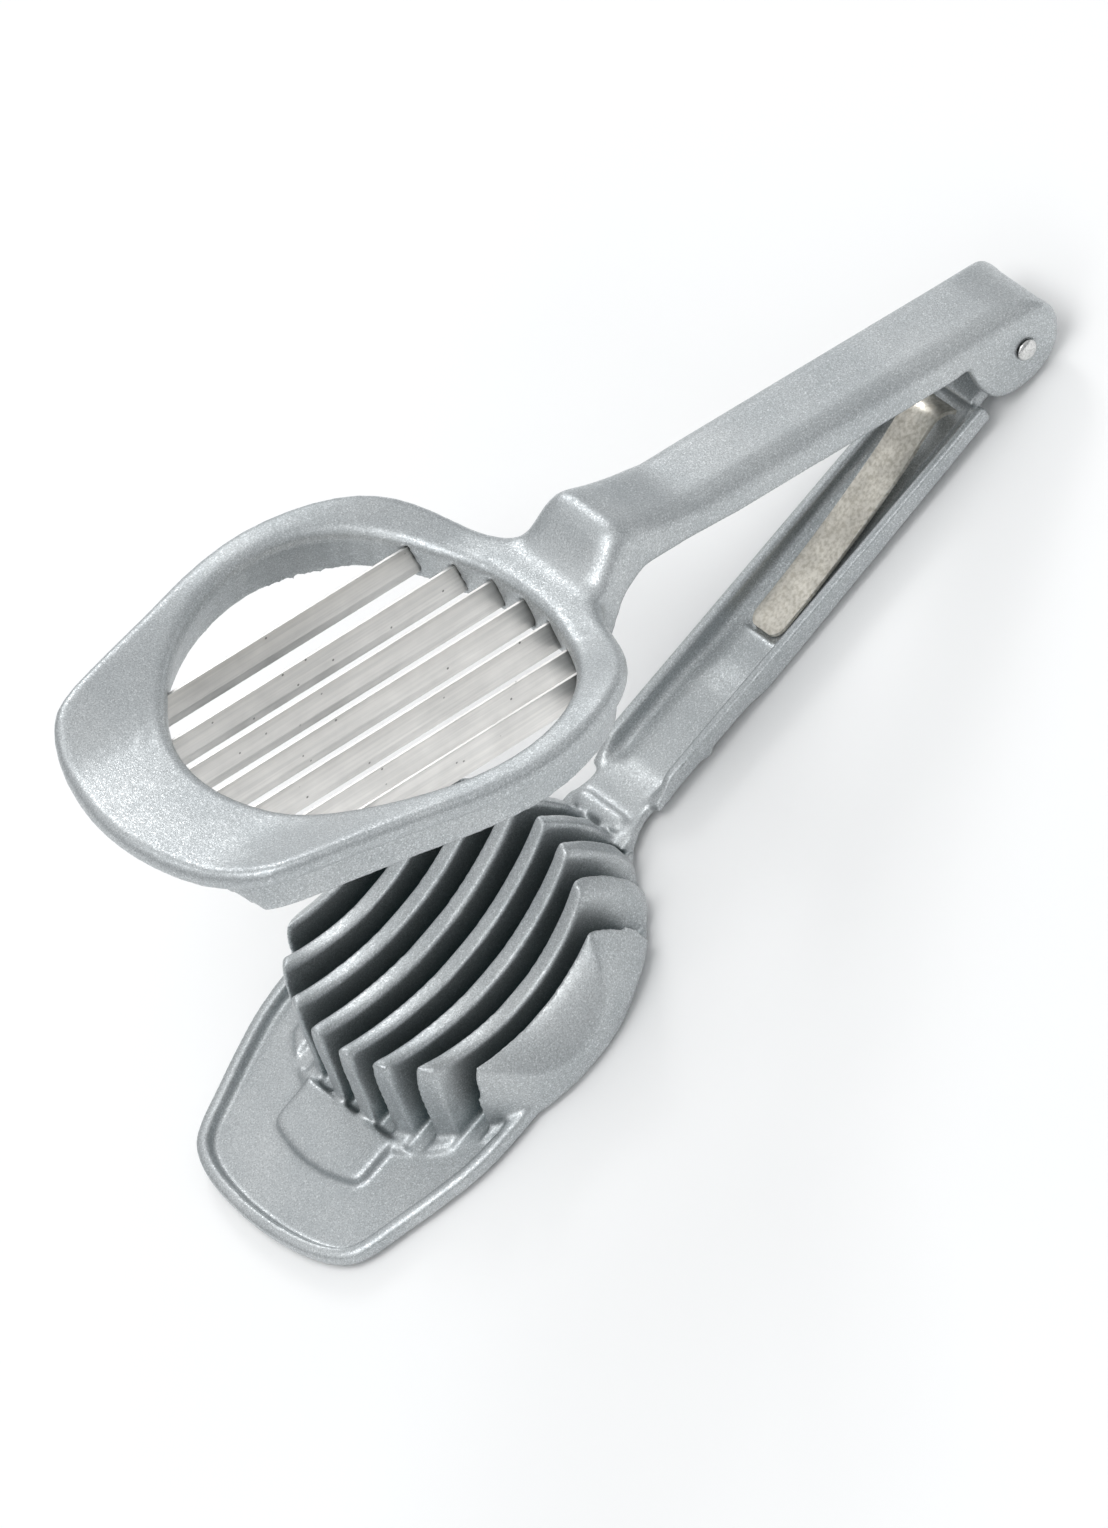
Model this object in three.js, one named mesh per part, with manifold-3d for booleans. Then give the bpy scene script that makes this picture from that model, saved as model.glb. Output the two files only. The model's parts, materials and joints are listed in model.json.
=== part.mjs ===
// Hand-held egg slicer: two aluminium die castings on one hinge pin, seven flat blades
// across the upper one, and a leaf spring that holds them apart.
// Units are millimetres, +Z is up, +X runs from the hinge to the lip, and both castings are
// symmetrical about Y = 0. The origin is on the table, under the middle of the egg cradle.
// Every piece is drawn with X measured from the hinge axis. The upper casting is drawn closed
// over the tray, and is then turned open about the pin.
import * as THREE from 'three';
import Module from 'manifold-3d';
import { TessellateModifier } from 'three/addons/modifiers/TessellateModifier.js';
import { mergeVertices } from 'three/addons/utils/BufferGeometryUtils.js';

const wasm = await Module();
wasm.setup();

// ---- driving dimensions -------------------------------------------------------------------
const OPEN_ANGLE = 25.5 * Math.PI / 180; // how far the spring holds the handles apart
const PIN_Z = 8.5; // height of the hinge axis over the table
const CRADLE_X = 149.5; // middle of the egg cradle, measured from the hinge axis
const GAP = 0.3; // clearance between separate pieces
const THROUGH = 2; // how far a cutting tool runs past the metal

const HANDLE_HALF = 9.5; // half width of both handles
const WALL = 2.2; // thickness of the handles' side walls

const BLADES = 7;
const PITCH = 8.25; // from blade to blade, and from fin to fin
const BLADE_THICK = 0.6;
const BLADE_LOW = 5.5;
const BLADE_TOP = 12.6;
const BLADE_GRIND = 2; // height of the ground part at each blade's lower edge
const BLADE_SEAT = 2.6; // how deep a blade's end sits in the collar
const OUTER_BLADE_LIFT = 2.1; // the first and last blades sit this much higher than the others

const OPENING_X = 145; // middle of the frame's oval opening
const OPENING_LONG = 35.8; // half length of the opening
const OPENING_HALF = 38; // half width of the opening
const OPENING_SKEW = 0.13; // makes the opening wider towards the hinge, like an egg
const OPENING_DRAFT = 1.06; // the collar's inner wall opens out downwards
const RIM_TOP = 15.5;
const RIM_LOW = 11;
const RIM_ROUND = 1.7;
const COLLAR_LOW = 4.2;
const COLLAR_INSET = 3;
const SIDE_LIFT = 5; // the frame's sides are dished up by this much
const LIFT_START = 15; // distance from the middle where the dish begins
const LIFT_END = 42; // and where it is complete
const NOSE_LIFT = 1.5; // the frame's front rises by this much towards its edge
const NOSE_START = 150;
const NOSE_END = 195;
const COLLAR_END = 190; // the collar stops here, and the frame runs on as a thin nose

const CRADLE_TOP = 20.8; // height of the fins' peaks
const CRADLE_DIP = 13.1; // height of the fins at the middle of the cradle
const SLOT_TOP = 4.9; // width of the slots between the fins, at their mouths
const SLOT_FOOT = 4.2; // and at their floors
const TRAY_FLOOR = 2.2;
const RAIL_TOP = 6.5; // top of the lower handle's side walls
const NECK_TOP = 3.8;

const PIN_RADIUS = 1.5;
const PIN_HEAD = 2.2;
const PIN_DOME = 0.9; // how far the rivet heads stand out
const CHEEK_INNER = 6.3; // half the gap between the upper handle's hinge cheeks
const LUG_RADIUS = 5;

const SPRING_THICK = 0.8;
const SPRING_HALF = 4;
const POCKET_DEEP = 0.8; // the leaf's pocket in the lower handle's floor

// ---- helpers --------------------------------------------------------------------------------
function solidOf(geometry) {
  geometry.deleteAttribute('normal');
  geometry.deleteAttribute('uv');
  const merged = mergeVertices(geometry, 1e-4);
  return new wasm.Manifold(new wasm.Mesh({
    numProp: 3,
    vertProperties: new Float32Array(merged.attributes.position.array),
    triVerts: new Uint32Array(merged.index.array),
  }));
}

function geometryOf(solid) {
  const mesh = solid.getMesh();
  const geometry = new THREE.BufferGeometry();
  geometry.setAttribute('position', new THREE.BufferAttribute(mesh.vertProperties, 3));
  geometry.setIndex(new THREE.BufferAttribute(mesh.triVerts, 1));
  geometry.computeVertexNormals();
  return geometry;
}

function united(solids) {
  return solids.reduce((sum, solid) => sum.add(solid));
}

function moveEachPoint(geometry, move) {
  const place = geometry.attributes.position;
  const point = new THREE.Vector3();
  for (let i = 0; i < place.count; i += 1) {
    point.fromBufferAttribute(place, i);
    move(point);
    place.setXYZ(i, point.x, point.y, point.z);
  }
  return geometry;
}

function blockOf(xLow, xHigh, halfWidth, zLow, zHigh, yMiddle = 0) {
  const block = new THREE.BoxGeometry(xHigh - xLow, 2 * halfWidth, zHigh - zLow);
  block.translate((xLow + xHigh) / 2, yMiddle, (zLow + zHigh) / 2);
  return solidOf(block);
}

// A flat outline seen from above, given thickness upwards.
function plateOf(shape, zLow, zHigh, round = 0) {
  const geometry = new THREE.ExtrudeGeometry(shape, {
    depth: zHigh - zLow - 2 * round,
    bevelEnabled: round > 0,
    bevelThickness: round,
    bevelSize: round,
    bevelOffset: -round,
    bevelSegments: 3,
  });
  geometry.translate(0, 0, zLow + round);
  return geometry;
}

// Splits long triangles, so that a plate can be dished smoothly.
function inSmallTriangles(geometry) {
  return new TessellateModifier(LONGEST_EDGE, 12).modify(geometry);
}

// An outline seen from the side, in X and Z, given width about Y = 0.
function sideOf(shape, halfWidth, round = 0) {
  const geometry = new THREE.ExtrudeGeometry(shape, {
    depth: 2 * (halfWidth - round),
    bevelEnabled: round > 0,
    bevelThickness: round,
    bevelSize: round,
    bevelOffset: -round,
    bevelSegments: 3,
    curveSegments: 8,
  });
  geometry.translate(0, 0, round - halfWidth);
  geometry.rotateX(Math.PI / 2);
  return solidOf(geometry);
}

// A cross section in Y and Z carried along X; fit(point) then gives it its real size there.
function sweepOf(section, xLow, xHigh, steps, fit) {
  const geometry = new THREE.ExtrudeGeometry(section, {
    depth: 1,
    steps,
    bevelEnabled: false,
    curveSegments: 5,
  });
  return solidOf(moveEachPoint(geometry, (point) => {
    point.set(xLow + (xHigh - xLow) * point.z, point.x, point.y);
    fit(point);
  }));
}

// An outline that is the same on both sides of Y = 0, smooth through its hand-picked points.
function outlineOf(halfPoints, count) {
  const far = halfPoints.map(([x, y]) => new THREE.Vector2(x, -y));
  const near = halfPoints.slice().reverse().map(([x, y]) => new THREE.Vector2(x, y));
  return new THREE.SplineCurve([...far, ...near]).getPoints(count);
}

function insetOf(points, distance) {
  return points.map((point, i) => {
    const before = points[Math.max(i - 1, 0)];
    const after = points[Math.min(i + 1, points.length - 1)];
    const along = after.clone().sub(before).normalize();
    return new THREE.Vector2(point.x - along.y * distance, point.y + along.x * distance);
  });
}

// A height or width that is known at a few stations along X, and smooth between them.
function stationsOf(stations) {
  return (x) => {
    const next = stations.findIndex(([place]) => place >= x);
    if (next < 0) return stations[stations.length - 1][1];
    if (next === 0) return stations[0][1];
    const [xLow, low] = stations[next - 1];
    const [xHigh, high] = stations[next];
    return low + (high - low) * (x - xLow) / (xHigh - xLow);
  };
}

function roundedSection(halfWidth, low, high, corner) {
  const section = new THREE.Shape();
  section.moveTo(-halfWidth, low);
  section.lineTo(halfWidth, low);
  section.lineTo(halfWidth, high - corner);
  section.absarc(halfWidth - corner, high - corner, corner, 0, Math.PI / 2);
  section.absarc(corner - halfWidth, high - corner, corner, Math.PI / 2, Math.PI);
  return section;
}

// ---- upper casting: blade frame, riser and handle ---------------------------------------------
const FRAME_HALF_OUTLINE = [
  [98.5, 12], [101, 13.4], [104, 18.6], [107.2, 27], [111.3, 33.8], [117.6, 39.2], [127, 43.3],
  [138, 45], [150, 43.6], [163, 39.8], [176, 36.2], [186, 33.2], [191.5, 29.8], [196, 22.8],
  [199.4, 12.5], [200.8, 4],
];
const OUTLINE_STEPS = 72;
const OPENING_STEPS = 56;
const LONGEST_EDGE = 6; // of the triangles in the dished frame
const BEYOND_NOSE = 210; // a cutting tool this long and this wide clears the whole frame
const BEYOND_SIDES = 60;

function openingHalfAt(along) {
  return OPENING_HALF * (1 - OPENING_SKEW * along);
}

function openingOutline() {
  return Array.from({ length: OPENING_STEPS }, (unused, i) => {
    const turn = 2 * Math.PI * i / OPENING_STEPS;
    const along = Math.cos(turn);
    return new THREE.Vector2(OPENING_X + OPENING_LONG * along, openingHalfAt(along) * Math.sin(turn));
  });
}

// Where the opening's edge crosses a blade's line: side -1 is the hinge side, +1 the lip side.
// The half width there depends on the answer, so each round starts from the one before.
function openingEdgeAt(y, side) {
  let along = side;
  for (let i = 0; i < 20; i += 1) {
    along = side * Math.sqrt(1 - (y / openingHalfAt(along)) ** 2);
  }
  return OPENING_X + OPENING_LONG * along;
}

function liftSides(point) {
  point.z += SIDE_LIFT * THREE.MathUtils.smoothstep(Math.abs(point.y), LIFT_START, LIFT_END);
  point.z += NOSE_LIFT * THREE.MathUtils.smoothstep(point.x, NOSE_START, NOSE_END);
}

// Moves the lower edge of the opening outwards.
function openDraft(point) {
  const along = (point.x - OPENING_X) / OPENING_LONG;
  const across = point.y / openingHalfAt(THREE.MathUtils.clamp(along, -1, 1));
  const onInnerWall = Math.hypot(along, across) < 1.01;
  if (onInnerWall && point.z < RIM_LOW) {
    point.x = OPENING_X + (point.x - OPENING_X) * OPENING_DRAFT;
    point.y *= OPENING_DRAFT;
  }
}

function frameRim() {
  const shape = new THREE.Shape(outlineOf(FRAME_HALF_OUTLINE, OUTLINE_STEPS));
  shape.holes.push(new THREE.Path(openingOutline()));
  const plate = inSmallTriangles(plateOf(shape, RIM_LOW, RIM_TOP, RIM_ROUND));
  return solidOf(moveEachPoint(plate, liftSides));
}

function frameCollar() {
  const outline = insetOf(outlineOf(FRAME_HALF_OUTLINE, OUTLINE_STEPS), COLLAR_INSET);
  const shape = new THREE.Shape(outline);
  shape.holes.push(new THREE.Path(openingOutline()));
  const collar = plateOf(shape, COLLAR_LOW, RIM_LOW + RIM_ROUND);
  const ring = solidOf(moveEachPoint(collar, (point) => {
    openDraft(point);
    liftSides(point);
  }));
  return ring.subtract(blockOf(COLLAR_END, BEYOND_NOSE, BEYOND_SIDES, -THROUGH, RIM_LOW + 1));
}

const RISER_ROUND = 0.42; // its corners, as a share of its height
const RISER_START = 76;
const RISER_END = 108;
const riserTop = stationsOf([
  [74, 18.9], [80, 19.9], [86, 21.6], [90, 23], [92.5, 23.6], [95, 22.2], [98, 18.6], [100.5, 16.1],
  [103, 15.2], [109, 15],
]);
const riserLow = stationsOf([
  [74, 12.2], [89, 12.2], [93.5, 10.4], [96.5, 7], [99, COLLAR_LOW], [109, COLLAR_LOW],
]);
const riserHalf = stationsOf([[74, 9.5], [88, 9.8], [94, 10.8], [99, 12], [103, 14.5], [109, 19]]);

function riser() {
  return sweepOf(roundedSection(1, 0, 1, RISER_ROUND), RISER_START, RISER_END, 20, (point) => {
    const high = riserTop(point.x);
    const low = riserLow(point.x);
    point.y *= riserHalf(point.x);
    point.z = low + (high - low) * point.z;
  });
}

const handleRise = stationsOf([[0, 0], [90, 1.7]]);
const HANDLE_LOW = 10.7;
const HANDLE_TOP = 17.8;
const HANDLE_ROUND = 4.4;
const HANDLE_ROOF = 14.4; // inside of the handle's top wall
const HANDLE_START = 15; // the straight part runs from the hinge cheeks to the riser
const HANDLE_FINISH = 82;
const HOLLOW_START = 9; // and is open underneath from here
const HOLLOW_FINISH = 86; // to here
const HOLLOW_ROUND = 2.5;
const CHEEK_ROUND = 1.2;
const CHEEK_GAP_START = -10; // behind the cheeks
const CHEEK_GAP_FINISH = 12;

function handleSweep(halfWidth, low, high, corner, xLow, xHigh) {
  return sweepOf(roundedSection(halfWidth, low, high, corner), xLow, xHigh, 4, (point) => {
    point.z += handleRise(point.x);
  });
}

function hingeCheeks() {
  const side = new THREE.Shape();
  side.moveTo(16, HANDLE_TOP + 1);
  side.lineTo(3, HANDLE_TOP);
  side.bezierCurveTo(-3, 17.2, -7.6, 16.4, -8.3, 11);
  side.bezierCurveTo(-8.9, 4, -3.5, 0.1, 3.6, 0.1);
  side.bezierCurveTo(9, 0.1, 11, 5, 12.6, HANDLE_LOW);
  side.lineTo(16, HANDLE_LOW);
  const lobes = sideOf(side, HANDLE_HALF, CHEEK_ROUND);
  const width = handleSweep(HANDLE_HALF, -1, HANDLE_TOP, HANDLE_ROUND, CHEEK_GAP_START, 18);
  return lobes.intersect(width);
}

function pinBore() {
  const bore = new THREE.CylinderGeometry(PIN_RADIUS + GAP, PIN_RADIUS + GAP, 3 * HANDLE_HALF, 24);
  bore.translate(0, 0, PIN_Z);
  return solidOf(bore);
}

function bladeSlots() {
  return bladePlaces().map(({ y, lift, back, front }) => blockOf(
    back - GAP, front + GAP, BLADE_THICK / 2 + GAP,
    BLADE_LOW + lift - GAP, BLADE_TOP + lift + GAP, y,
  ));
}

const NECK_WAY_START = 90; // the frame bridges the lower handle's walls from here
const NECK_WAY_END = 105.8; // to here
const NECK_WAY_HALF = 10.5;
const NECK_WAY_TOP = RAIL_TOP + 0.7;

function upperFrame() {
  const handle = handleSweep(
    HANDLE_HALF, HANDLE_LOW, HANDLE_TOP, HANDLE_ROUND, HANDLE_START, HANDLE_FINISH,
  );
  const hollow = handleSweep(
    HANDLE_HALF - WALL, 0, HANDLE_ROOF, HOLLOW_ROUND, HOLLOW_START, HOLLOW_FINISH,
  );
  const cheekGap = blockOf(CHEEK_GAP_START, CHEEK_GAP_FINISH, CHEEK_INNER, -THROUGH, HANDLE_ROOF);
  const neckWay = blockOf(NECK_WAY_START, NECK_WAY_END, NECK_WAY_HALF, -THROUGH, NECK_WAY_TOP);
  const metal = united([frameRim(), frameCollar(), riser(), handle, hingeCheeks()]);
  const air = united([hollow, cheekGap, neckWay, pinBore(), ...bladeSlots()]);
  return metal.subtract(air);
}

// ---- blades -----------------------------------------------------------------------------------
function bladePlaces() {
  const middle = (BLADES - 1) / 2;
  return Array.from({ length: BLADES }, (unused, i) => {
    const y = (i - middle) * PITCH;
    const outermost = i === 0 || i === BLADES - 1;
    return {
      y,
      lift: outermost ? OUTER_BLADE_LIFT : 0,
      back: openingEdgeAt(y, -1) - BLADE_SEAT,
      front: openingEdgeAt(y, 1) + BLADE_SEAT,
    };
  });
}

// The lower edge is ground thin, so that it cuts.
function blade({ y, lift, back, front }) {
  const half = BLADE_THICK / 2;
  const low = BLADE_LOW + lift;
  const top = BLADE_TOP + lift;
  const section = new THREE.Shape();
  section.moveTo(y - half / 3, low);
  section.lineTo(y + half / 3, low);
  section.lineTo(y + half, low + BLADE_GRIND);
  section.lineTo(y + half, top);
  section.lineTo(y - half, top);
  section.lineTo(y - half, low + BLADE_GRIND);
  return sweepOf(section, back, front, 1, () => {});
}

// ---- lower casting: cradle, lip, neck and handle ---------------------------------------------------
// The cradle's outline at a few heights: half length towards the hinge, towards the lip, half width.
const CRADLE_LEVELS = [
  [0, 32.6, 32.4, 32], [3.2, 34.6, 33, 34.8], [9, 34, 31.4, 34.6], [14, 31.8, 30.2, 33.6],
  [18, 29.6, 29.2, 32.2], [20.8, 27.8, 28.2, 30.6],
];
const CRADLE_STEPS = 64;
const CRADLE_SQUARENESS = { hinge: 2.2, lip: 2 }; // 2 is an ellipse

function cradleOutline(toHinge, toLip, halfWidth) {
  return Array.from({ length: CRADLE_STEPS }, (unused, i) => {
    const turn = 2 * Math.PI * i / CRADLE_STEPS;
    const power = 2 / (Math.cos(turn) < 0 ? CRADLE_SQUARENESS.hinge : CRADLE_SQUARENESS.lip);
    const reach = Math.cos(turn) < 0 ? toHinge : toLip;
    const x = Math.sign(Math.cos(turn)) * Math.abs(Math.cos(turn)) ** power;
    const y = Math.sign(Math.sin(turn)) * Math.abs(Math.sin(turn)) ** power;
    return new THREE.Vector2(CRADLE_X + reach * x, halfWidth * y);
  });
}

// A slice of the cradle between two of its levels, closed above and below.
function cradleLayer([lowZ, ...lowSizes], [highZ, ...highSizes]) {
  const low = cradleOutline(...lowSizes);
  const high = cradleOutline(...highSizes);
  const places = [...low.map(({ x, y }) => [x, y, lowZ]), ...high.map(({ x, y }) => [x, y, highZ])];
  const count = low.length;
  const faces = [];
  for (let i = 0; i < count; i += 1) {
    const next = (i + 1) % count;
    faces.push(i, next, count + next, i, count + next, count + i);
  }
  for (let i = 1; i < count - 1; i += 1) {
    faces.push(0, i + 1, i, count, count + i, count + i + 1);
  }
  const layer = new THREE.BufferGeometry();
  layer.setAttribute('position', new THREE.BufferAttribute(new Float32Array(places.flat()), 3));
  layer.setIndex(faces);
  return solidOf(layer);
}

function cradleBlock() {
  return united(CRADLE_LEVELS.slice(1).map((level, i) => cradleLayer(CRADLE_LEVELS[i], level)));
}

// The hollow for the egg, cut into each fin as an arc that reaches from peak to peak.
function cradleHollow(yLow, yHigh, halfLength, dipZ) {
  const dip = CRADLE_TOP - dipZ;
  const radius = (halfLength ** 2 + dip ** 2) / (2 * dip);
  const arc = new THREE.CylinderGeometry(radius, radius, yHigh - yLow, 120, 8);
  arc.translate(CRADLE_X, (yLow + yHigh) / 2, dipZ + radius);
  return arc;
}

const FIN_HALF_LENGTHS = [27.2, 25.4, 21.6]; // from peak to middle, from the middle fin outwards
const WALL_DIP = 14.4; // height of the outer walls' crest at their middle
const WALL_HALF_LENGTH = 19.6; // half the length of the arc between their peaks
const WALL_CREST = 26.8; // outside this the walls are rounded down towards the table
const WALL_SLOPE = 0.35; // how fast they fall away there
const WALL_BULGE = 0.09; // and how much faster with each millimetre
const WALL_OUTSIDE = 37; // beyond the outer walls

function roundDownOutside(point) {
  const outside = Math.max(Math.abs(point.y) - WALL_CREST, 0);
  point.z -= WALL_SLOPE * outside + WALL_BULGE * outside ** 2;
}

function cradleHollows() {
  const hollows = [];
  for (const side of [-1, 1]) {
    FIN_HALF_LENGTHS.forEach((halfLength, i) => {
      const edges = [side * i * PITCH, side * (i + 1) * PITCH].sort((a, b) => a - b);
      hollows.push(solidOf(cradleHollow(edges[0], edges[1], halfLength, CRADLE_DIP)));
    });
    const outerFin = side * FIN_HALF_LENGTHS.length * PITCH;
    const wall = [outerFin, side * WALL_OUTSIDE].sort((a, b) => a - b);
    const overWall = cradleHollow(wall[0], wall[1], WALL_HALF_LENGTH, WALL_DIP);
    hollows.push(solidOf(moveEachPoint(overWall, roundDownOutside)));
  }
  return hollows;
}

const SLOT_TO_HINGE = 36; // reach of the slots from the middle of the cradle
const SLOT_TO_LIP = 33;

function cradleSlots() {
  return bladePlaces().map(({ y }) => {
    const section = new THREE.Shape();
    section.moveTo(y - SLOT_FOOT / 2, TRAY_FLOOR);
    section.lineTo(y + SLOT_FOOT / 2, TRAY_FLOOR);
    section.lineTo(y + SLOT_TOP / 2, CRADLE_TOP + THROUGH);
    section.lineTo(y - SLOT_TOP / 2, CRADLE_TOP + THROUGH);
    return sweepOf(section, CRADLE_X - SLOT_TO_HINGE, CRADLE_X + SLOT_TO_LIP, 1, () => {});
  });
}

const LIP_HALF_OUTLINE = [
  [152, 31.4], [165, 32.4], [177, 31.8], [186, 29.6], [194, 27], [201.5, 24.4], [205.6, 21.2],
  [208.4, 14.5], [209.8, 5],
];
const LIP_RIM_TOP = 4.4;
const LIP_RIM_WIDE = 2.6;
const LIP_FLOOR = 2.1;
const LIP_UNDER = 0.9; // the lip's edge stands clear of the table
const LIP_MIDDLE = 1.5; // a height inside the lip's floor, where two of its solids join
const LIP_ROUND = 0.9;
const APRON_TOP = 3.1; // the low step round the cradle's foot
const APRON_ROUND = 0.4;
const PAD_START = 182.6; // the thumb pad begins where the slots end
const PAD_HALF = 12.3;
const PAD_TOP = 4;
const PAD_ROUND = 0.7;

function lip() {
  const outline = outlineOf(LIP_HALF_OUTLINE, 48);
  const plate = solidOf(plateOf(new THREE.Shape(outline), LIP_UNDER, LIP_RIM_TOP, LIP_ROUND));
  const foot = new THREE.Shape(insetOf(outline, 2 * LIP_RIM_WIDE));
  const inside = new THREE.Shape(insetOf(outline, LIP_RIM_WIDE));
  const dish = solidOf(plateOf(inside, LIP_FLOOR, LIP_RIM_TOP + THROUGH));
  return plate.add(solidOf(plateOf(foot, 0, LIP_MIDDLE))).subtract(dish);
}

function lipApron() {
  const apron = new THREE.Shape(cradleOutline(30, 37.4, 34.6));
  return solidOf(plateOf(apron, LIP_MIDDLE - 0.5, APRON_TOP, APRON_ROUND));
}

function lipPad() {
  const pad = new THREE.Shape();
  pad.moveTo(PAD_START, -PAD_HALF);
  pad.lineTo(190.5, -PAD_HALF);
  pad.quadraticCurveTo(192.8, -PAD_HALF, 193.4, -10);
  pad.quadraticCurveTo(196.6, 0, 193.4, 10);
  pad.quadraticCurveTo(192.8, PAD_HALF, 190.5, PAD_HALF);
  pad.lineTo(PAD_START, PAD_HALF);
  return solidOf(plateOf(pad, LIP_MIDDLE - 0.5, PAD_TOP, PAD_ROUND));
}

const NECK_HALF_OUTLINE = [
  [126, 21], [120.5, 16.5], [116, 11.5], [111, 8.4], [105, 7.6], [99, 8], [95, 8.4], [91, 8.4],
];
const NECK_LOW = 1.4;
const NECK_ROUND = 0.8;
const BAR_X = 112.6; // the raised bar across the neck
const BAR_HALF_LENGTH = 5;
const BAR_RADIUS = 1.7;
const BAR_RISE = 1.1;
const BAR_ROUND = 0.5;

function neckBar() {
  const bar = new THREE.Shape();
  bar.absarc(BAR_X, BAR_HALF_LENGTH, BAR_RADIUS, 0, Math.PI);
  bar.absarc(BAR_X, -BAR_HALF_LENGTH, BAR_RADIUS, Math.PI, 2 * Math.PI);
  return solidOf(plateOf(bar, NECK_TOP - 1, NECK_TOP + BAR_RISE, BAR_ROUND));
}

function neck() {
  const outline = outlineOf(NECK_HALF_OUTLINE, 40);
  const plate = solidOf(plateOf(new THREE.Shape(outline), NECK_LOW, NECK_TOP, NECK_ROUND));
  return plate.add(neckBar());
}

const HANDLE_END = 12.8; // where the lower handle's walls stop, clear of the turning cheeks
const HANDLE_FOOT_HALF = 7.8; // the lower handle is narrower at its foot
const CHANNEL_FLOOR_HALF = 6.7;
const POCKET_HALF = 5;
const POCKET_FOOT_HALF = 4.6;
const underside = stationsOf([[8, 2.6], [77, 0.4], [81, 1.8], [107, 1.8]]);
const channelFloor = stationsOf([[8, 4.3], [60, 2.6], [76, 2.4], [82, 3], [101, 3], [105.5, NECK_TOP]]);
const railTop = stationsOf([[8, RAIL_TOP], [101, RAIL_TOP], [105.5, NECK_TOP], [107, NECK_TOP]]);

function channelSweep(halfLow, halfHigh, lowAt, highAt, xLow, xHigh, steps) {
  const section = new THREE.Shape();
  section.moveTo(-halfLow, 0);
  section.lineTo(halfLow, 0);
  section.lineTo(halfHigh, 0.25);
  section.lineTo(halfHigh, 1);
  section.lineTo(-halfHigh, 1);
  section.lineTo(-halfHigh, 0.25);
  return sweepOf(section, xLow, xHigh, steps, (point) => {
    const low = lowAt(point.x);
    point.z = low + (highAt(point.x) - low) * point.z;
  });
}

function lowerHandle() {
  return channelSweep(HANDLE_FOOT_HALF, HANDLE_HALF, underside, railTop, HANDLE_END, 106.5, 32);
}

function lowerHandleHollow() {
  const pocketFloor = (x) => channelFloor(x) - POCKET_DEEP;
  const wellAbove = () => RAIL_TOP + THROUGH;
  const channelHalf = HANDLE_HALF - WALL;
  const channel = channelSweep(CHANNEL_FLOOR_HALF, channelHalf, channelFloor, wellAbove, 4, 107, 34);
  const pocket = channelSweep(POCKET_FOOT_HALF, POCKET_HALF, pocketFloor, wellAbove, 14, 69.5, 8);
  return channel.add(pocket);
}

function hingeLug() {
  const eye = new THREE.CylinderGeometry(LUG_RADIUS, LUG_RADIUS, 2 * (CHEEK_INNER - GAP), 32);
  eye.translate(0, 0, PIN_Z);
  const arm = blockOf(0, HANDLE_END + 1, CHEEK_INNER - GAP, 3.5, 6.2);
  return solidOf(eye).add(arm);
}

function lowerTray() {
  const cradle = cradleBlock().subtract(united(cradleHollows()));
  const body = united([cradle, lip(), lipApron(), lipPad(), neck()]).subtract(united(cradleSlots()));
  const channel = body.add(lowerHandle()).subtract(lowerHandleHollow());
  return channel.add(hingeLug()).subtract(pinBore());
}

// ---- hinge pin and leaf spring ---------------------------------------------------------------------
function hingePin() {
  const face = HANDLE_HALF + GAP;
  const dome = [];
  for (let i = 0; i <= 4; i += 1) {
    const turn = Math.PI / 2 * i / 4;
    dome.push([PIN_HEAD * Math.cos(turn), face + PIN_DOME * Math.sin(turn)]);
  }
  const top = dome.map(([radius, y]) => new THREE.Vector2(radius, y));
  const bottom = dome.slice().reverse().map(([radius, y]) => new THREE.Vector2(radius, -y));
  const shank = [new THREE.Vector2(PIN_RADIUS, -face), new THREE.Vector2(PIN_RADIUS, face)];
  const profile = [...bottom, ...shank, ...top];
  profile[0].x = 0;
  profile[profile.length - 1].x = 0;
  const pin = new THREE.LatheGeometry(profile, 24);
  pin.translate(0, 0, PIN_Z);
  return solidOf(pin);
}

const LEAF_PATH = [
  [68.6, 2.45], [58, 2.85], [44, 4.1], [30, 6.1], [22.5, 7.8], [19.6, 8], [17.4, 6.9], [16.2, 5.2],
];

function leafSpring() {
  const middle = new THREE.SplineCurve(LEAF_PATH.map(([x, z]) => new THREE.Vector2(x, z)));
  const points = middle.getPoints(28);
  const upperSide = insetOf(points, SPRING_THICK / 2);
  const lowerSide = insetOf(points, -SPRING_THICK / 2).reverse();
  const strip = sideOf(new THREE.Shape([...upperSide, ...lowerSide]), SPRING_HALF);
  const plan = new THREE.Shape();
  plan.moveTo(10, -SPRING_HALF - 1);
  plan.lineTo(65.5, -SPRING_HALF);
  plan.quadraticCurveTo(69, -SPRING_HALF, 69, 0);
  plan.quadraticCurveTo(69, SPRING_HALF, 65.5, SPRING_HALF);
  plan.lineTo(10, SPRING_HALF + 1);
  return strip.intersect(solidOf(plateOf(plan, 0, 12)));
}

// ---- the scene graph -----------------------------------------------------------------------------------
const casting = { color: 0xb4babc, roughness: 0.5, metalness: 0.9 };
const bladeSteel = { color: 0xc9c6c0, roughness: 0.3, metalness: 1 };
const springSteel = { color: 0xb5ab99, roughness: 0.4, metalness: 1 };
const pinSteel = { color: 0xc4c4c2, roughness: 0.25, metalness: 1 };

function piece(name, solid, finish) {
  const mesh = new THREE.Mesh(geometryOf(solid), new THREE.MeshStandardMaterial(finish));
  mesh.name = name;
  return mesh;
}

const lower = new THREE.Group();
lower.add(piece('lower_tray', lowerTray(), casting));
lower.add(piece('leaf_spring', leafSpring(), springSteel));

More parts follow.
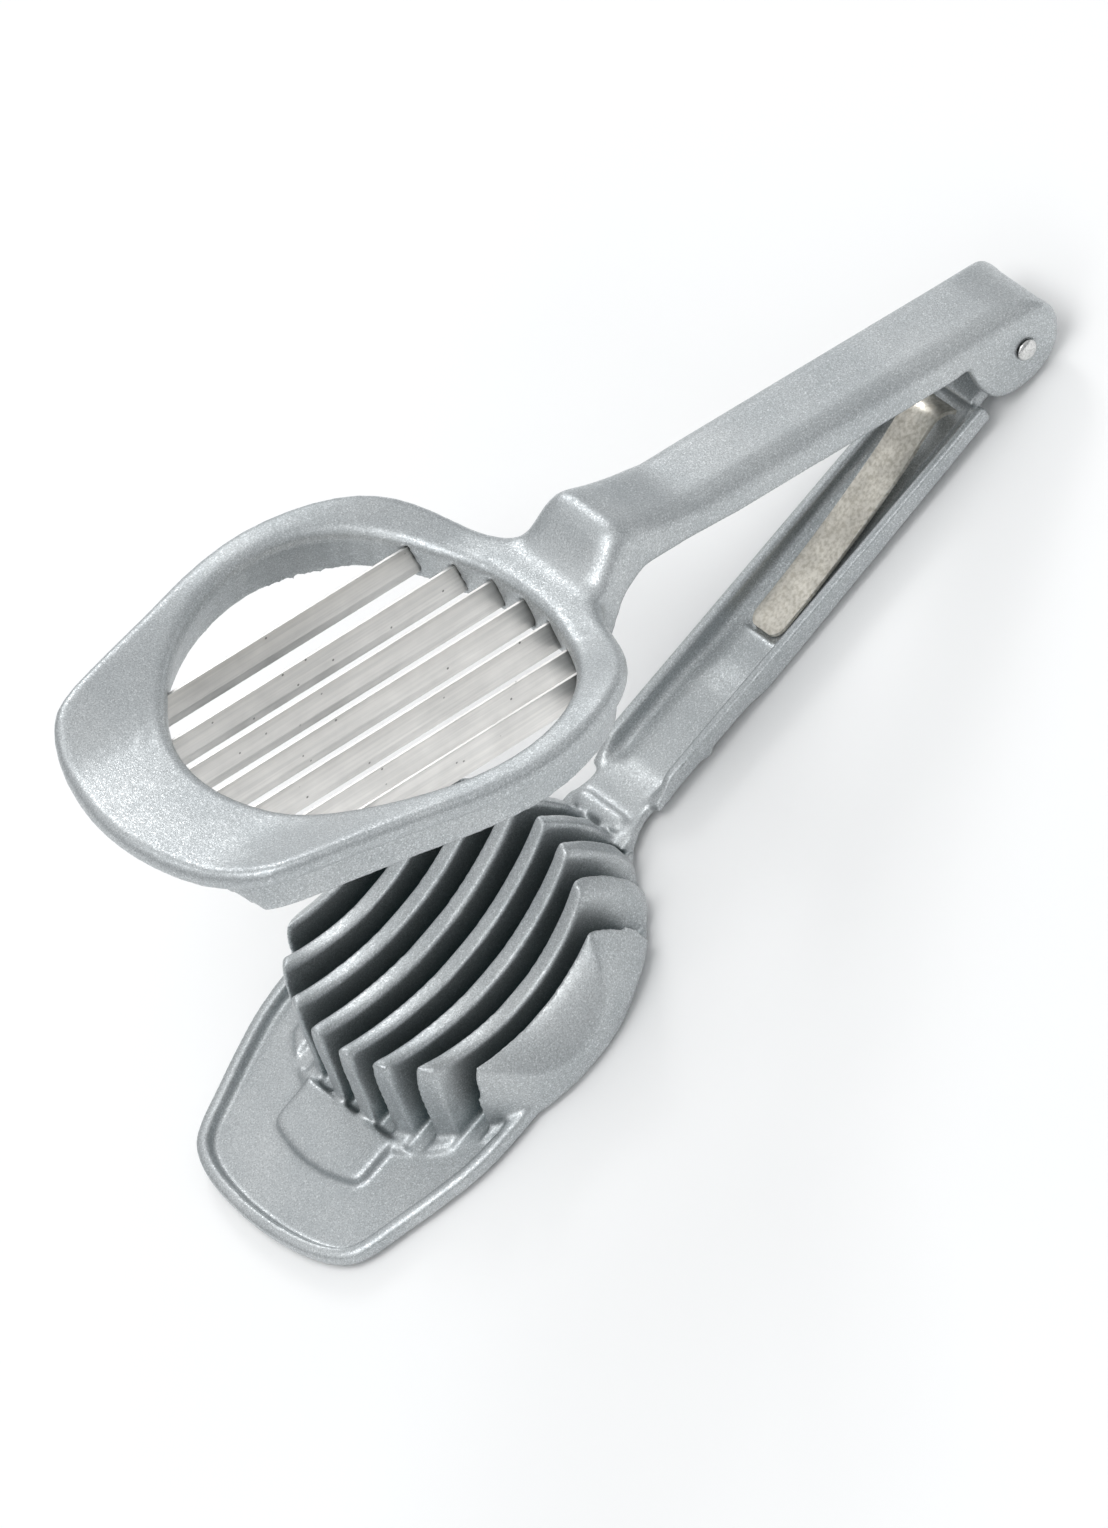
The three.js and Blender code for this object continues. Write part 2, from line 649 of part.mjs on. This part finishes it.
const upper = new THREE.Group();
upper.add(piece('upper_frame', upperFrame(), casting));
upper.add(piece('hinge_pin', hingePin(), pinSteel));
bladePlaces().forEach((place, i) => {
  upper.add(piece(`blade_${i + 1}`, blade(place), bladeSteel));
});
upper.children.forEach((mesh) => mesh.position.set(0, 0, -PIN_Z));
upper.position.set(0, 0, PIN_Z);
upper.rotation.y = -OPEN_ANGLE;

const eggSlicer = new THREE.Group();
eggSlicer.add(lower, upper);
eggSlicer.position.set(-CRADLE_X, 0, 0);

export default eggSlicer;
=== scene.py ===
# %% [markdown]
# # A hand-held egg slicer
#
# Two aluminium castings meet at a hinge. The lower one is a long channel-shaped handle that ends in a cradle of
# seven slots and a lip to press on. The upper one is a handle that ends in an egg-shaped frame with seven steel
# blades. A leaf spring in the channel holds the two apart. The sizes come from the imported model, which is loaded
# first: every new piece takes its place from a part of that model, so nothing has to be fitted by eye.

# %% Load the model
import json
import math

import bpy
from mathutils import Matrix, Vector


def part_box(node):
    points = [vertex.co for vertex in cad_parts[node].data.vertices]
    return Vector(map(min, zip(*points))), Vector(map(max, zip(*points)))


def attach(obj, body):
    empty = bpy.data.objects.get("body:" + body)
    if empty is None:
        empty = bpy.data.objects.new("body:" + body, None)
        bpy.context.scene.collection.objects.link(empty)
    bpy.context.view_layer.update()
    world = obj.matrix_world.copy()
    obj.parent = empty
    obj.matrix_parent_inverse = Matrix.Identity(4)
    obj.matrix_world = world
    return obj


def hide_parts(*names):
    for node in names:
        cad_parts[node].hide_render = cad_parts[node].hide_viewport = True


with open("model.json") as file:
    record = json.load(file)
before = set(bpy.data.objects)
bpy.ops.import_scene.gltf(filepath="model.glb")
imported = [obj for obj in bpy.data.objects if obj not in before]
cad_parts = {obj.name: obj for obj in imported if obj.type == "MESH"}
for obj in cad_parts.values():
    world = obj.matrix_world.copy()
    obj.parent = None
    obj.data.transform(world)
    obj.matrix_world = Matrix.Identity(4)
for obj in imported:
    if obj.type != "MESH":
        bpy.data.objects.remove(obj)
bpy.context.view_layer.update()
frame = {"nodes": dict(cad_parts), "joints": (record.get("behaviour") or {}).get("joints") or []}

MM = 0.001
nodes = frame["nodes"]
blade_names = sorted(name for name in nodes if name.startswith("blade_"))
OPEN_ANGLE = math.radians(frame["joints"][0]["range_deg"][1])
pin_low, pin_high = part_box("hinge_pin")
PIN = (pin_low + pin_high) / 2
print("parts:", sorted(nodes))

# %% [markdown]
# ## The camera
#
# The slicer is looked at from above and from the side of its lip, with a long lens far away, so that parallel
# edges stay almost parallel. The camera is also rolled, which lays the slicer across the upright picture. The
# three directions below are the camera's right, its up and the way that it looks.

# %% Camera
CAMERA_PLACE = Vector((0.29904, 2.43770, 2.95422))
CAMERA_RIGHT = Vector((-0.64462, 0.62248, -0.44382))
CAMERA_UP = Vector((-0.75945, -0.45480, 0.46517))
LOOK = Vector((-0.08771, -0.63692, -0.76592))
LENS_MM = 502.6
SENSOR_MM = 36

lens = bpy.data.cameras.new("long_lens")
lens.lens = LENS_MM
lens.sensor_width = SENSOR_MM
lens.clip_start = 0.1
lens.clip_end = 20
camera = bpy.data.objects.new("camera", lens)
bpy.context.scene.collection.objects.link(camera)
turn = Matrix((CAMERA_RIGHT, CAMERA_UP, -LOOK)).transposed()
camera.matrix_world = Matrix.Translation(CAMERA_PLACE) @ turn.to_4x4()
bpy.context.scene.camera = camera
print("camera distance in m:", round(CAMERA_PLACE.length, 2))

# %% [markdown]
# ## Light
#
# Bare aluminium shows little of its own colour: what is seen is the room, mirrored and blurred. The sky is
# brighter overhead than at the horizon, so that tops are pale and walls are a little darker. One large soft
# panel overhead lights the table, a narrow one behind the hinge draws bright lines along the rounded edges, and
# a weak one in front keeps the near walls from going dark. Colours are shown as they are, without the film-like
# curve that would grey the whites.


# %% Light panels
LIT_PLACE = Vector((-0.05, 0, 0.02))


def light_panel(name, place, size, power):
    """A square area light of that size in metres, turned towards the middle of the slicer."""
    panel = bpy.data.lights.new(name, "AREA")
    panel.size = size
    panel.energy = power
    lamp = bpy.data.objects.new(name, panel)
    bpy.context.scene.collection.objects.link(lamp)
    place = Vector(place)
    aim = (LIT_PLACE - place).to_track_quat("-Z", "Y")
    lamp.matrix_world = Matrix.Translation(place) @ aim.to_matrix().to_4x4()
    print(name, "is", size, "m wide and gives", power, "W")


light_panel("top_panel", (0.25, 0.15, 1.5), 0.9, 8.5)
light_panel("rim_panel", (-0.7, -1.0, 0.75), 0.35, 3.2)
light_panel("front_panel", (1.0, 0.7, 0.9), 0.5, 1.8)
bpy.context.scene.view_settings.view_transform = "Standard"

# %% Sky
HORIZON = (0.33, 0.34, 0.35)
ZENITH = (0.80, 0.81, 0.815)

sky = bpy.data.worlds.new("studio")
sky.use_nodes = True
sky_tree = sky.node_tree
direction = sky_tree.nodes.new("ShaderNodeTexCoord").outputs["Generated"]
upward = sky_tree.nodes.new("ShaderNodeSeparateXYZ")
sky_tree.links.new(direction, upward.inputs["Vector"])
glow = sky_tree.nodes.new("ShaderNodeValToRGB")
glow.color_ramp.elements[0].color = (*HORIZON, 1)
glow.color_ramp.elements[1].color = (*ZENITH, 1)
sky_tree.links.new(upward.outputs["Z"], glow.inputs["Fac"])
sky_tree.links.new(glow.outputs["Color"], sky_tree.nodes["Background"].inputs["Color"])
bpy.context.scene.world = sky
print("sky from", HORIZON, "to", ZENITH)

# %% [markdown]
# ## Finishes
#
# Each finish is built from a few nodes. A noise or a cell pattern is read at the piece's own coordinates, in
# metres, so a scale of 2000 gives grains of about half a millimetre. `pattern` adds one such texture, `ramp`
# turns its value into a colour, and `relief` turns it into fine bumps.


# %% Small helpers for building a finish
def new_finish(name, metal, rough):
    """A material with its shader and the object's own coordinates."""
    finish = bpy.data.materials.new(name)
    finish.use_nodes = True
    tree = finish.node_tree
    shader = tree.nodes["Principled BSDF"]
    shader.inputs["Metallic"].default_value = metal
    shader.inputs["Roughness"].default_value = rough
    place = tree.nodes.new("ShaderNodeTexCoord").outputs["Object"]
    return finish, tree, shader, place


def drawn_out(tree, place, lengths, tilt=0.0):
    """Coordinates whose patterns are that many times longer along each axis, after a turn about Y."""
    mapping = tree.nodes.new("ShaderNodeMapping")
    mapping.vector_type = "TEXTURE"
    mapping.inputs["Rotation"].default_value = (0, tilt, 0)
    mapping.inputs["Scale"].default_value = lengths
    tree.links.new(place, mapping.inputs["Vector"])
    return mapping.outputs["Vector"]


def pattern(tree, kind, place, scale, detail=2.0):
    """A texture node of that kind and scale."""
    texture = tree.nodes.new(kind)
    texture.inputs["Scale"].default_value = scale
    if kind == "ShaderNodeTexNoise":
        texture.inputs["Detail"].default_value = detail
    tree.links.new(place, texture.inputs["Vector"])
    return texture


def ramp(tree, value, stops):
    """Turns a value into a colour. stops are pairs of a position and a colour or a grey."""
    node = tree.nodes.new("ShaderNodeValToRGB")
    while len(node.color_ramp.elements) < len(stops):
        node.color_ramp.elements.new(0.5)
    for element, (position, colour) in zip(node.color_ramp.elements, stops):
        element.position = position
        element.color = (*colour, 1) if isinstance(colour, tuple) else (colour, colour, colour, 1)
    tree.links.new(value, node.inputs["Fac"])
    return node.outputs["Color"]


def blend_colours(tree, how, share, first, second):
    """Mixes two colours: how is MIX, MULTIPLY or ADD, and share is a number or a socket."""
    mix = tree.nodes.new("ShaderNodeMix")
    mix.data_type = "RGBA"
    mix.blend_type = how
    if isinstance(share, (int, float)):
        mix.inputs["Factor"].default_value = share
    else:
        tree.links.new(share, mix.inputs["Factor"])
    tree.links.new(first, mix.inputs["A"])
    tree.links.new(second, mix.inputs["B"])
    return mix.outputs["Result"]


def relief(tree, shader, heights):
    """Bumps one after the other. heights are triples of a value, a strength and a depth in metres."""
    under = None
    for value, strength, depth in heights:
        bump = tree.nodes.new("ShaderNodeBump")
        bump.inputs["Strength"].default_value = strength
        bump.inputs["Distance"].default_value = depth
        tree.links.new(value, bump.inputs["Height"])
        if under:
            tree.links.new(under, bump.inputs["Normal"])
        under = bump.outputs["Normal"]
    tree.links.new(under, shader.inputs["Normal"])


# %% [markdown]
# ### Cast aluminium
#
# The castings have a tumbled, slightly sparkling surface: a matte silver-grey, on which tiny facets catch the
# light. Three scales make it: broad soft clouds of tone, a fine grain that also dents the surface, and flakes
# from a cell pattern, where each cell gets its own brightness; the brightest flakes are painted glints. Deep
# between the fins a dark, blue-green painted shade comes in as a second colour, where other metal is close.

# %% Cast aluminium
CAST_LIGHT = (0.56, 0.585, 0.595)
CAST_DARK = (0.455, 0.485, 0.50)
RECESS_SHADE = (0.022, 0.07, 0.08)
RECESS_SHADE_REACH = 8 * MM  # the painted shade darkens the colour where other metal is closer than this
GRAIN_SCALE = 3700
FLAKE_SCALE = 4300


def cast_aluminium(name):
    finish, tree, shader, place = new_finish(name, 0.82, 0.45)
    clouds = pattern(tree, "ShaderNodeTexNoise", place, 55, 4)
    grain = pattern(tree, "ShaderNodeTexNoise", place, GRAIN_SCALE, 3)
    flakes = pattern(tree, "ShaderNodeTexVoronoi", place, FLAKE_SCALE)
    tone = ramp(tree, clouds.outputs["Fac"], [(0.3, CAST_DARK), (0.68, CAST_LIGHT)])
    speck = ramp(tree, grain.outputs["Fac"], [(0.34, 0.74), (0.55, 1.0), (0.70, 1.12)])
    tone = blend_colours(tree, "MULTIPLY", 1.0, tone, speck)
    # painted glints: the brightest flakes are added to the colour, in place of facets that catch the light
    sparkle = ramp(tree, flakes.outputs["Color"], [(0.62, 0.0), (0.95, 0.22)])
    tone = blend_colours(tree, "ADD", 1.0, tone, sparkle)
    # Painted shade: where other metal of the same piece is close, the colour goes over to a dark blue-green.
    recess_occlusion = tree.nodes.new("ShaderNodeAmbientOcclusion")
    recess_occlusion.only_local = True
    recess_occlusion.samples = 8
    recess_occlusion.inputs["Distance"].default_value = RECESS_SHADE_REACH
    unshaded_share = ramp(tree, recess_occlusion.outputs["AO"], [(0.18, 0.0), (0.62, 1.0)])
    # the flat colour of that painted shade in the recesses
    skin = tree.nodes.new("ShaderNodeRGB")
    skin.outputs[0].default_value = (*RECESS_SHADE, 1)
    tone = blend_colours(tree, "MIX", unshaded_share, skin.outputs[0], tone)
    tree.links.new(tone, shader.inputs["Base Color"])
    gloss = ramp(tree, flakes.outputs["Color"], [(0.25, 0.50), (0.95, 0.33)])
    tree.links.new(gloss, shader.inputs["Roughness"])
    relief(
        tree,
        shader,
        [
            (clouds.outputs["Fac"], 0.18, 0.0008),
            (grain.outputs["Fac"], 0.38, 0.00008),
            (flakes.outputs["Distance"], 0.22, 0.00006),
        ],
    )
    return finish


upper_casting = cast_aluminium("cast_aluminium_upper")
lower_casting = cast_aluminium("cast_aluminium_lower")
print("finish:", upper_casting.name, lower_casting.name)

# %% [markdown]
# ### Steels
#
# The blades are rolled stainless strip: a warm light grey with faint lines along the strip, a few dark pits and
# a soft gloss. Near their seats in the collar they get a painted shade. The leaf spring is a beige steel, mottled
# by its heat treatment. The rivet is turned and polished, so it is the brightest metal, with fine rings round its
# axis.

# %% Blade steel
BLADE_LIGHT = (0.84, 0.825, 0.80)
BLADE_DARK = (0.74, 0.73, 0.71)
SEAT_REACH = 6 * MM  # a blade is shaded where the collar is closer than this
SEAT_SHADE = 0.4
STREAK_LENGTH = 40


def shade_in_corners(tree, reach, darkest):
    """A painted shade: a grey that falls from white to that darkest value where other metal is closer than reach.
    """
    near = tree.nodes.new("ShaderNodeAmbientOcclusion")
    near.samples = 8
    near.inputs["Distance"].default_value = reach
    return ramp(tree, near.outputs["AO"], [(0.25, darkest), (0.9, 1.0)])


def blade_steel(name):
    finish, tree, shader, place = new_finish(name, 0.96, 0.30)
    along = drawn_out(tree, place, (STREAK_LENGTH, 1, 1), -OPEN_ANGLE)
    lines = pattern(tree, "ShaderNodeTexNoise", along, 1500, 3)
    clouds = pattern(tree, "ShaderNodeTexNoise", place, 120, 3)
    pits = pattern(tree, "ShaderNodeTexVoronoi", place, 260)
    tone = ramp(tree, lines.outputs["Fac"], [(0.35, BLADE_DARK), (0.62, BLADE_LIGHT)])
    haze = ramp(tree, clouds.outputs["Fac"], [(0.35, 0.90), (0.65, 1.06)])
    tone = blend_colours(tree, "MULTIPLY", 1.0, tone, haze)
    pit = ramp(tree, pits.outputs["Distance"], [(0.04, 0.25), (0.08, 1.0)])
    tone = blend_colours(tree, "MULTIPLY", 1.0, tone, pit)
    # painted shade on the blades, where the collar is close
    tone = blend_colours(tree, "MULTIPLY", 1.0, tone, shade_in_corners(tree, SEAT_REACH, SEAT_SHADE))
    tree.links.new(tone, shader.inputs["Base Color"])
    gloss = ramp(tree, clouds.outputs["Fac"], [(0.3, 0.30), (0.7, 0.42)])
    tree.links.new(gloss, shader.inputs["Roughness"])
    relief(
        tree,
        shader,
        [(lines.outputs["Fac"], 0.10, 0.00004), (pits.outputs["Distance"], 0.10, 0.00005)],
    )
    return finish


strip_steel = blade_steel("blade_steel")

# %% Spring steel
SPRING_LIGHT = (0.82, 0.785, 0.71)
SPRING_DARK = (0.60, 0.565, 0.49)


def spring_steel_finish(name):
    finish, tree, shader, place = new_finish(name, 0.9, 0.36)
    mottle = pattern(tree, "ShaderNodeTexNoise", place, 1300, 6)
    patches = pattern(tree, "ShaderNodeTexNoise", place, 160, 3)
    scratches = pattern(tree, "ShaderNodeTexNoise", drawn_out(tree, place, (20, 1, 1)), 1500)
    tone = ramp(tree, mottle.outputs["Fac"], [(0.36, SPRING_DARK), (0.60, SPRING_LIGHT)])
    patch = ramp(tree, patches.outputs["Fac"], [(0.35, 0.82), (0.65, 1.12)])
    tone = blend_colours(tree, "MULTIPLY", 1.0, tone, patch)
    tree.links.new(tone, shader.inputs["Base Color"])
    gloss = ramp(tree, mottle.outputs["Fac"], [(0.35, 0.48), (0.65, 0.28)])
    tree.links.new(gloss, shader.inputs["Roughness"])
    relief(
        tree,
        shader,
        [(mottle.outputs["Fac"], 0.22, 0.00008), (scratches.outputs["Fac"], 0.12, 0.00003)],
    )
    return finish


leaf_steel = spring_steel_finish("spring_steel")

# %% Rivet steel
RIVET_LIGHT = (0.80, 0.80, 0.79)
RIVET_DARK = (0.58, 0.58, 0.57)


def rivet_steel(name):
    finish, tree, shader, place = new_finish(name, 1.0, 0.2)
    grain = pattern(tree, "ShaderNodeTexNoise", drawn_out(tree, place, (1, 10, 1)), 2600, 3)
    marks = pattern(tree, "ShaderNodeTexNoise", place, 600, 2)
    tone = ramp(tree, grain.outputs["Fac"], [(0.35, RIVET_DARK), (0.6, RIVET_LIGHT)])
    tree.links.new(tone, shader.inputs["Base Color"])
    gloss = ramp(tree, marks.outputs["Fac"], [(0.3, 0.14), (0.7, 0.32)])
    tree.links.new(gloss, shader.inputs["Roughness"])
    relief(tree, shader, [(grain.outputs["Fac"], 0.08, 0.00003)])
    return finish


pin_finish = rivet_steel("pin_steel")
print("steels:", strip_steel.name, leaf_steel.name, pin_finish.name)

# %% [markdown]
# ## Copies that can be worked on
#
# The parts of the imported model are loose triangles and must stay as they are. Each finished piece starts as a
# copy of its part, with the doubled corners merged so that the copy is one closed skin. `only` selects one
# object and nothing else, because an operator acts on all that is selected.


# %% Copying a part and applying modifiers
SAME_PLACE = 0.002 * MM  # corners nearer than this are merged
def only(piece):
    bpy.ops.object.select_all(action="DESELECT")
    piece.select_set(True)
    bpy.context.view_layer.objects.active = piece


def copy_of(node, name):
    """A merged copy of a part, free of the model."""
    piece = bpy.data.objects.new(name, nodes[node].data.copy())
    piece.data.materials.clear()
    bpy.context.scene.collection.objects.link(piece)
    only(piece)
    bpy.ops.object.mode_set(mode="EDIT")
    bpy.ops.mesh.select_all(action="SELECT")
    bpy.ops.mesh.remove_doubles(threshold=SAME_PLACE)
    bpy.ops.object.mode_set(mode="OBJECT")
    return piece


def apply_modifier(piece, kind, **settings):
    """Adds a modifier with these settings and applies it at once."""
    only(piece)
    modifier = piece.modifiers.new(kind.lower(), kind)
    for setting, value in settings.items():
        setattr(modifier, setting, value)
    bpy.ops.object.modifier_apply(modifier=modifier.name)


def triangles(piece):
    return sum(len(face.vertices) - 2 for face in piece.data.polygons)


def hand_in(piece, node, body, finish):
    """Gives a piece its finish, puts it in the place of a part, and lets it ride on a body."""
    piece.data.materials.clear()
    piece.data.materials.append(finish)
    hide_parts(node)
    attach(piece, body)
    print(piece.name, "has", triangles(piece), "triangles")


# %% [markdown]
# ## The two castings
#
# Molten aluminium can't fill a sharp corner, and tumbling wears every edge round. Bevelling hundreds of edges
# by hand would fail where the fins run into the cradle wall, so the whole skin is rebuilt instead: a voxel
# remesh turns the copy into small even squares, and a smoothing that works on those squares rounds each
# edge and fills each inner corner by the same small radius. Where the metal leaves only a narrow seat for a
# blade, the remesh can leave loose specks, so only the largest skin of each copy is kept.
#
# At the hinge side of the cradle the slots run out into the neck. Two blocks, melted in by the remesh, close
# the neck again and complete the raised bar across it.

# %% Soften the castings
VOXEL = 0.45 * MM
SOFTENING = 10
MOST_TRIANGLES = 190000
NECK_FILLINGS = [  # opposite corners, in millimetres from the pin
    [(112.6, -9.3, -6.9), (116.2, 9.3, -4.75)],  # where the slots run out into the neck
    [(110.9, -5.6, -6.9), (114.3, 5.6, -3.7)],  # the raised bar across the neck
]


def fill(piece, low, high):
    """Adds a block between two corners, which the remesh below melts into the piece."""
    bpy.ops.object.select_all(action="DESELECT")
    bpy.ops.mesh.primitive_cube_add(size=1, location=(low + high) / 2)
    block = bpy.context.object
    block.scale = high - low
    bpy.ops.object.transform_apply(location=True, rotation=False, scale=True)
    only(piece)
    block.select_set(True)
    bpy.ops.object.join()


def without_crumbs(piece):
    """Keeps the largest closed skin, and drops the specks that the remesh leaves in narrow seats."""
    name = piece.name
    only(piece)
    bpy.ops.object.mode_set(mode="EDIT")
    bpy.ops.mesh.select_all(action="SELECT")
    bpy.ops.mesh.separate(type="LOOSE")
    bpy.ops.object.mode_set(mode="OBJECT")
    skins = sorted(bpy.context.selected_objects, key=lambda skin: len(skin.data.vertices))
    for crumb in skins[:-1]:
        bpy.data.objects.remove(crumb)
    print(name, "lost", len(skins) - 1, "specks")
    skins[-1].name = name
    return skins[-1]


def cast_piece(node, name, fillings=()):
    piece = copy_of(node, name)
    for low, high in fillings:
        fill(piece, PIN + Vector(low) * MM, PIN + Vector(high) * MM)
    apply_modifier(piece, "REMESH", mode="VOXEL", voxel_size=VOXEL)
    apply_modifier(piece, "SMOOTH", factor=0.5, iterations=SOFTENING)
    return without_crumbs(piece)


slicing_frame = cast_piece("upper_frame", "slicing_frame")
cradle_tray = cast_piece("lower_tray", "cradle_tray", NECK_FILLINGS)
print("squares:", len(slicing_frame.data.polygons), len(cradle_tray.data.polygons))

# %% [markdown]
# Some places were blended by hand in the foundry pattern with a far larger radius: where the riser runs into
# the frame, where the handle's top runs over the hinge, round the neck, and at the peaks of the fins. There the
# smoothing is repeated many times, with a strength that depends on the place: full inside a ball, or above a
# height, and fading to nothing outside.


# %% Blend the riser, the hinge end, the neck and the fins' peaks
def opened(x, z):
    """A point of the upper casting, given as it lies when closed, in millimetres from the hinge pin."""
    turned = Matrix.Rotation(-OPEN_ANGLE, 3, "Y") @ Vector((x * MM, 0, z * MM))
    return PIN + turned


def ball(centre, radius):
    """Full strength at the middle of a ball, fading to nothing at its edge."""
    return lambda place: 2 * (1 - (place - centre).length / radius)


def above(low, high):
    """Nothing below the first height, growing to full strength at the second."""
    return lambda place: (place.z - low) / (high - low)


def soften(piece, strength_at, passes):
    """Smooths the piece by as much as strength_at says for each place."""
    group = piece.vertex_groups.new(name="near")
    for vertex in piece.data.vertices:
        strength = strength_at(vertex.co)
        if strength > 0:
            group.add([vertex.index], min(1.0, strength), "REPLACE")
    apply_modifier(piece, "SMOOTH", factor=0.5, iterations=passes, vertex_group="near")
    piece.vertex_groups.clear()


UPPER_BLENDS = [  # X and Z when closed, radius in millimetres, passes
    (95, 11, 24, 80),  # where the riser runs into the frame
    (79, 9, 16, 60),  # where the handle runs into the riser
    (8, 9, 14, 22),  # over the hinge
]
for x, z, radius, passes in UPPER_BLENDS:
    soften(slicing_frame, ball(opened(x, z), radius * MM), passes)

NECK = PIN + Vector((109, 0, -6)) * MM
NECK_RADIUS = 15 * MM
NECK_PASSES = 14
PEAKS_FROM = 15.5 * MM
PEAKS_FULL = 19 * MM
PEAKS_PASSES = 24
soften(cradle_tray, ball(NECK, NECK_RADIUS), NECK_PASSES)
soften(cradle_tray, above(PEAKS_FROM, PEAKS_FULL), PEAKS_PASSES)
print("blended places:", len(UPPER_BLENDS) + 2)

# %% [markdown]
# A decimate step then removes the squares that a flat face doesn't need, and the two castings take the places
# of their parts.


# %% Hand the castings in
def thin_out(piece):
    count = triangles(piece)
    if count > MOST_TRIANGLES:
        apply_modifier(piece, "DECIMATE", ratio=MOST_TRIANGLES / count)
    only(piece)
    bpy.ops.object.shade_smooth()


thin_out(slicing_frame)
thin_out(cradle_tray)
hand_in(slicing_frame, "upper_frame", "upper", upper_casting)
hand_in(cradle_tray, "lower_tray", "lower", lower_casting)

# %% [markdown]
# ## The blades
#
# Seven strips of different lengths: each is as long as the frame's opening is on its line, and has a seat in the
# collar at both ends. Each is a copy of its part. A narrow bevel takes the sharpness off the edges, where the
# strip was slit from the roll. The outermost two stand a little higher than the rest.

# %% Blades
BLADE_EDGE = 0.07 * MM
SHARP = math.radians(30)
FLAT = math.radians(4)  # keeps the strips' flat faces flat in the light


def blade_piece(node):
    piece = copy_of(node, "cutting_" + node)
    apply_modifier(
        piece, "BEVEL", width=BLADE_EDGE, segments=2, limit_method="ANGLE", angle_limit=SHARP
    )
    only(piece)
    bpy.ops.object.shade_smooth_by_angle(angle=FLAT)
    hand_in(piece, node, "upper", strip_steel)
    return piece


blades = [blade_piece(name) for name in blade_names]

# %% [markdown]
# ## The leaf spring
#
# One strip of spring steel, flat where it rests in its pocket and bent up towards the hinge, with a hooked end
# under the upper handle. The copy is bevelled all round, as a stamped and tumbled strip is.

# %% Leaf spring
LEAF_EDGE = 0.18 * MM

leaf = copy_of("leaf_spring", "return_spring")
apply_modifier(
    leaf, "BEVEL", width=LEAF_EDGE, segments=3, limit_method="ANGLE", angle_limit=SHARP
)
only(leaf)
bpy.ops.object.shade_smooth_by_angle(angle=SHARP)
hand_in(leaf, "leaf_spring", "lower", leaf_steel)

# %% [markdown]
# ## The hinge rivet
#
# A steel pin through both handles, with a low domed head on each side. The copy is rebuilt in very small
# squares and smoothed, which turns its few flat faces into a true dome.

# %% Hinge rivet
RIVET_VOXEL = 0.12 * MM
RIVET_PASSES = 6

rivet = copy_of("hinge_pin", "hinge_rivet")
apply_modifier(rivet, "REMESH", mode="VOXEL", voxel_size=RIVET_VOXEL)
apply_modifier(rivet, "SMOOTH", factor=0.5, iterations=RIVET_PASSES)
only(rivet)
bpy.ops.object.shade_smooth()
hand_in(rivet, "hinge_pin", "upper", pin_finish)

# %% [markdown]
# ## The table
#
# A pale, matte table top far larger than the view. It has a faint unevenness of tone, so it isn't one flat
# colour.

# %% Table
TABLE_SIZE = 8  # metres
TABLE_LIGHT = (0.945, 0.946, 0.946)
TABLE_DARK = (0.91, 0.912, 0.913)

bpy.ops.object.select_all(action="DESELECT")
bpy.ops.mesh.primitive_plane_add(size=TABLE_SIZE, location=(0, 0, 0))
table_top = bpy.context.object
table_top.name = "table_top"
paint, tree, shader, place = new_finish("pale_table", 0.0, 0.7)
wash = pattern(tree, "ShaderNodeTexNoise", place, 3, 3)
tree.links.new(
    ramp(tree, wash.outputs["Fac"], [(0.3, TABLE_DARK), (0.7, TABLE_LIGHT)]),
    shader.inputs["Base Color"],
)
table_top.data.materials.append(paint)
print("table is", TABLE_SIZE, "m wide")
